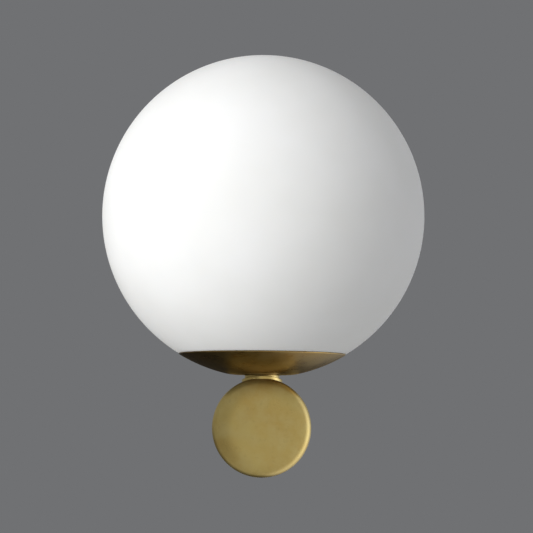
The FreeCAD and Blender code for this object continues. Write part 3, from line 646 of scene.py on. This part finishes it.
def holder_cup_shell():
    """The lampholder's cup, with the socket inside it that takes the stem's rod."""
    low, high = span("holder_cup")
    bottom, top = low.z, high.z
    outer, inner, lip = HOLDER_R - RIB, HOLDER_R - HOLDER_WALL, 0.4
    base_r, base_round, inner_base_r, inner_base_round = 12.0, 1.5, 11.0, 1.0
    shoulder, shoulder_round = bottom + 7.0, 6.0
    inner_shoulder, inner_shoulder_round = bottom + 6.5, 3.0
    floor, socket_r, socket_top = bottom + 2.5, ROD_HOLE_R + 2.0, bottom + 8.0
    cup = rounded((ROD_HOLE_R, bottom), (base_r, bottom, base_round), (outer, shoulder, shoulder_round),
                  (outer, top, lip), (inner, top), (inner, inner_shoulder, inner_shoulder_round),
                  (inner_base_r, floor, inner_base_round), (socket_r, floor), (socket_r, socket_top),
                  (ROD_HOLE_R, socket_top))
    stand_for(lathe("holder_cup_shell", cup), "fixture", "holder_cup")


def holder_skirt_shell():
    """The lampholder's skirt, with grip ribs round it that fade out towards both ends."""
    low, high = span("holder_skirt")
    bottom, top = low.z, high.z
    ribs, rows, top_round, fade_over = 36, 26, 1.0, 1.5
    plain, bore, lip = HOLDER_R - RIB, HOLDER_R - 4.0, HOLDER_R - 3.0
    first_row, last_row = bottom + 1.0, top - 2.0
    ribs_low, ribs_high = bottom + 1.5, top - 3.0
    profile = [(bore, top - top_round), (bore, bottom), (plain, bottom)]
    profile += [(plain, first_row + (last_row - first_row) * k / rows) for k in range(rows + 1)]
    profile += arc((plain - top_round, top - top_round), top_round, 0.0, 90.0, steps=5)
    profile += [(lip, top)]

    def flutes(k, turn, z):
        if abs(profile[k][0] - plain) > MERGE / MM:
            return 0.0
        fade = min(1.0, max(0.0, min(z - ribs_low, ribs_high - z) / fade_over))
        return RIB * fade * (0.5 + 0.5 * math.cos(2 * math.pi * ribs * turn))

    piece = lathe("holder_skirt_shell", profile, segments=360, sharp=50.0, relief=flutes)
    stand_for(piece, "fixture", "holder_skirt")


# ---- bulb -----------------------------------------------------------------------------------

def bulb_cap_thread():
    """The bulb's screw cap with its rolled thread, which fades out towards both ends."""
    low, high = span("bulb_cap")
    groove, pitch, wall, rows, edge, fade_over = 1.1, 3.6, 0.4, 72, 0.2, 1.2
    root = high.x - groove
    turns_low, turns_high = low.z + 0.6, high.z - 3.0
    inside = [(root - wall, high.z), (root - wall, low.z + edge), (root, low.z)]
    profile = inside + [(root, low.z + (high.z - low.z) * (k + 1) / rows) for k in range(rows)]

    def rolled(k, turn, z):
        if k < len(inside):
            return 0.0
        fade = min(1.0, max(0.0, min(z - turns_low, turns_high - z) / fade_over))
        return groove * fade * (0.5 - 0.5 * math.cos(2 * math.pi * (z / pitch - turn)))

    piece = lathe("bulb_cap_thread", profile, segments=128, relief=rolled)
    stand_for(piece, "bulb", "bulb_cap")


def bulb_dome_shell():
    """The bulb's frosted dome, a thin part of a sphere."""
    low, high = span("bulb_dome")
    r, inner_r = high.x, high.x - DOME_T
    middle = (0.0, high.z - r)
    profile = arc(middle, r, edge_angle(low.z, r, middle[1]), 90.0, steps=64)
    profile += arc(middle, inner_r, 90.0, edge_angle(low.z, inner_r, middle[1]), steps=48)
    piece = lathe("bulb_dome_shell", profile, segments=160)
    stand_for(piece, "bulb", "bulb_dome")


ARM_ROD_LOW, ARM_ROD_HIGH = span("arm_rod")
NECK_ROD_LOW, NECK_ROD_HIGH = span("neck_rod")
globe_shell()
dish_shell()
drum_shell()
neck_shell()
canopy_shell()
arm_sleeve()
threaded_rod("arm_rod", FROM_WALL, -ARM_ROD_HIGH.y, -ARM_ROD_LOW.y)
threaded_rod("neck_rod", ON_STEM, NECK_ROD_LOW.z, NECK_ROD_HIGH.z)
holder_cup_shell()
holder_skirt_shell()
bulb_cap_thread()
bulb_dome_shell()


# ---- stage, lights and camera ---------------------------------------------------------------

# The camera's place in millimetres: right of the stem, in front of it and above the arm's axis.
CAMERA_RIGHT = 12.7
CAMERA_DISTANCE = 1500.0
CAMERA_HEIGHT = 0.8
# Its turns in degrees, its picture and focal length in that picture's pixels, its sensor's width
# in millimetres and how far it sees in metres.
PITCH = 4.73
YAW = 0.38
ROLL = 0.43
FRAME_SIZE = 533.0
FOCAL_PIXELS = 1936.6
SENSOR = 36.0
FAR = 50.0

# Lights and floor in metres, and how bright the studio is.
AIM = Vector((0.0, STEM.y, 0.10))
KEY_PLACE = AIM + Vector((-1.45, -1.50, 0.50))
KEY_SIZE = 1.3
KEY_RADIANCE = 6.9
FILL = 0.58
BACKDROP = linear(112, 113, 115)
ROOM_COLOUR = (0.8, 0.8, 0.8, 1.0)
WALL_COLOUR = (0.95, 1.0, 1.25, 1.0)
WALL_LIGHT = 1.42
FLOOR_Z = -0.75
FLOOR_R = 6.0
FLOOR_FADE_START = 1.0
FLOOR_FADE_END = 3.6


def make_camera():
    """The camera at the photo's viewing angle."""
    data = bpy.data.cameras.new("camera")
    data.sensor_width = SENSOR
    data.lens = SENSOR * FOCAL_PIXELS / FRAME_SIZE
    data.clip_end = FAR
    camera = bpy.data.objects.new("camera", data)
    bpy.context.scene.collection.objects.link(camera)
    camera.location = (CAMERA_RIGHT * MM, STEM.y - CAMERA_DISTANCE * MM, CAMERA_HEIGHT * MM)
    turn = Matrix.Rotation(math.radians(YAW), 4, "Z")
    turn = turn @ Matrix.Rotation(math.radians(90.0 + PITCH), 4, "X")
    turn = turn @ Matrix.Rotation(math.radians(ROLL), 4, "Z")
    camera.rotation_euler = turn.to_euler()
    bpy.context.scene.camera = camera


def make_key_light():
    """One large soft light on matt surfaces, from the upper left; its power follows from its size."""
    data = bpy.data.lights.new("key_left", "AREA")
    data.shape = "RECTANGLE"
    data.size = KEY_SIZE
    data.size_y = KEY_SIZE
    data.energy = KEY_RADIANCE * math.pi * KEY_SIZE * KEY_SIZE
    light = bpy.data.objects.new("key_left", data)
    bpy.context.scene.collection.objects.link(light)
    light.location = KEY_PLACE
    light.rotation_euler = (AIM - KEY_PLACE).to_track_quat("-Z", "Y").to_euler()
    light.visible_camera = False
    light.visible_glossy = False


def mirrored_room(w, x, y, z, depth):
    """Brightness of the room that metal mirrors, and of a bright wall on its right, for a direction.

    x goes right, y towards the wall that the fixture hangs on, and z up. Rays that metal has already
    mirrored once find both dimmer, which darkens the places where metal mirrors metal."""
    room_wall = w.length(w.math("DIVIDE", w.math("SUBTRACT", y, 0.04), 0.87),
                         w.math("DIVIDE", w.math("SUBTRACT", z, -0.14), 1.5))
    wall = w.math("MULTIPLY", w.ease(room_wall, low=WALL_LIGHT, high=0.0, start=0.0, end=1.0),
                  w.ease(x, low=0.0, high=1.0, start=0.0, end=0.3))

    front = w.ease(x, low=0.25, high=0.68, start=-0.46, end=-0.16)
    front = w.ease(z, low=front, high=0.34, start=0.2, end=0.7)
    front = w.ease(z, low=0.46, high=front, start=-0.85, end=-0.45)
    behind = w.ease(x, low=0.03, high=0.55, start=0.11, end=0.31)
    behind = w.ease(z, low=behind, high=0.30, start=-0.2, end=0.15)
    room = w.ease(y, low=front, high=behind, start=-0.05, end=0.35)

    again = w.ease(x, low=0.2, high=0.6, start=0.1, end=0.5)
    again = w.ease(z, low=again, high=1.0, start=-0.45, end=-0.10)
    again = w.ease(y, low=again, high=0.30, start=0.0, end=0.4)
    again = w.spread(depth, low=1.0, high=again, start=2.0, end=3.0)
    return w.math("MULTIPLY", room, again), w.math("MULTIPLY", wall, again)


def make_world():
    """A plain grey backdrop for the camera, an even fill on matt surfaces and a room for metal to mirror."""
    world = bpy.data.worlds.new("studio")
    world.use_nodes = True
    world.cycles.sampling_method = "NONE"
    world.node_tree.nodes.clear()
    w = Nodes(world.node_tree)

    def background(colour, strength):
        return w.add("ShaderNodeBackground", {"Color": colour, "Strength": strength}).outputs[0]

    def mixed(factor, a, b):
        return w.add("ShaderNodeMixShader", {0: factor, 1: a, 2: b}).outputs[0]

    out = w.add("ShaderNodeOutputWorld")
    ray = w.add("ShaderNodeLightPath").outputs
    x, y, z = w.split(w.add("ShaderNodeTexCoord").outputs["Generated"])
    room, wall = mirrored_room(w, x, y, z, ray["Ray Depth"])
    mirrored = w.add("ShaderNodeAddShader", {
        0: background(ROOM_COLOUR, room), 1: background(WALL_COLOUR, wall)}).outputs[0]
    light = mixed(ray["Is Glossy Ray"], background(ROOM_COLOUR, FILL), mirrored)
    light = mixed(ray["Is Camera Ray"], light, background(BACKDROP, 1.0))
    w.give(out.inputs["Surface"], light)
    bpy.context.scene.world = world


def make_floor():
    """A pale floor well below, which fades into the backdrop towards its edge."""
    steps = 96
    rim = [toward((0.0, 0.0), FLOOR_R / MM, 360.0 * i / steps) + (FLOOR_Z / MM,) for i in range(steps)]
    floor = object_from("floor", rim, [tuple(range(steps))])
    f = Finish("pale_floor")
    f.set("Base Color", f.mix(f.noise(size=0.5), linear(206, 206, 204), linear(198, 198, 196)))
    f.set("Roughness", f.spread(f.noise(size=0.02), low=0.8, high=0.95))
    x, y, z = f.parts(STEM)
    clear = f.add("ShaderNodeBsdfTransparent").outputs[0]
    fade = f.spread(f.length(x, y), low=0.0, high=1.0, start=FLOOR_FADE_START, end=FLOOR_FADE_END)
    node = f.add("ShaderNodeMixShader", {0: fade, 1: f.shader.outputs[0], 2: clear})
    f.tree.links.new(node.outputs[0], f.tree.nodes["Material Output"].inputs["Surface"])
    floor.data.materials.append(f.material)
    floor.visible_glossy = False


make_camera()
make_world()
make_floor()
make_key_light()
bpy.context.scene.view_settings.view_transform = "Standard"
